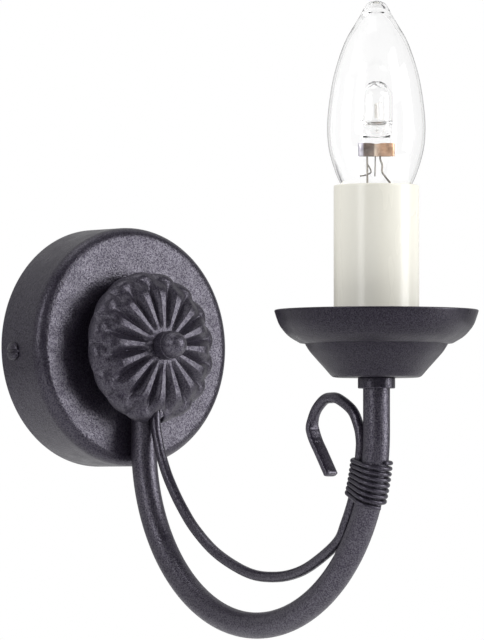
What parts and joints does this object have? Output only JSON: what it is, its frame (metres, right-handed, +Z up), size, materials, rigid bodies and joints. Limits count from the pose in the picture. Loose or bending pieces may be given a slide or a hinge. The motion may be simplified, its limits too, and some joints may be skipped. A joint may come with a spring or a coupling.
{
  "type": "candle wall light",
  "caption": "Black wrought-iron style wall light: drum cover, fluted rosette, U-shaped arm with bound scroll, drip pan and electric candle lamp.",
  "frame": {"origin": "centre of the cover's back edge, on the wall, midway between the two wall screw slots", "axes": "+Y into the wall, so the light reaches out towards -Y; +Z up; +X sideways"},
  "size_m": [0.0936, 0.203, 0.2285],
  "materials": {
    "black_coat": "graphite black powder coat, fine textured, satin",
    "zinc_steel": "zinc plated steel",
    "brass": "plain brass",
    "nickel": "nickel plated",
    "cream_tube": "cream, smooth satin gloss",
    "white_plastic": "matt white moulding",
    "rubber": "black rubber",
    "insulator_glass": "black vitreous insulator",
    "wire_brown": "brown insulation",
    "wire_blue": "blue insulation",
    "wire_earth": "green and yellow insulation",
    "clear_glass": "clear glass",
    "clip_metal": "heat-tinted steel strip"
  },
  "bodies": {
    "fixture": {"wall_cover": "black_coat", "cover_screws": "black_coat", "rosette": "black_coat", "finial_nut": "black_coat", "arm_tube": "black_coat", "scroll_rod": "black_coat", "binding_wire": "black_coat", "pan_collar": "black_coat", "drip_pan": "black_coat", "wall_bracket": "zinc_steel", "terminal_screws": "zinc_steel", "arm_hub": "zinc_steel", "hub_washer": "zinc_steel", "finial_stud": "zinc_steel", "holder_screws": "zinc_steel", "terminal_inserts": "brass", "earth_screw": "brass", "earth_tags": "brass", "hub_nut": "brass", "pan_nut": "brass", "holder_terminals": "brass", "screw_shell": "brass", "terminal_block": "white_plastic", "holder_base": "white_plastic", "holder_body": "white_plastic", "cable_grommet": "rubber", "live_wire": "wire_brown", "neutral_wire": "wire_blue", "earth_wire": "wire_earth"},
    "lamp": {"lamp_cap": "nickel", "cap_insulator": "insulator_glass", "cap_contact": "zinc_steel", "lamp_stem": "clear_glass", "lamp_glass": "clear_glass", "lamp_supports": "nickel", "capsule_clip": "clip_metal", "lamp_capsule": "clear_glass", "filament": "zinc_steel"},
    "sleeve": {"candle_sleeve": "cream_tube"},
    "tongue": {"contact_tongue": "brass"}
  },
  "joints": [
    {"name": "lamp_unscrew", "type": "slide", "parent": "fixture", "child": "lamp", "axis": [0, 0, 1], "range_m": [0, 0.035]},
    {"name": "sleeve_lift", "type": "slide", "parent": "fixture", "child": "sleeve", "axis": [0, 0, 1], "range_m": [0, 0.0025]},
    {"name": "tongue_press", "type": "hinge", "parent": "fixture", "child": "tongue", "pos_m": [-0.007, -0.1665, 0.0206], "axis": [0, 1, 0], "range_deg": [0, 3], "stiffness_Nm_per_rad": 0.02}
  ]
}
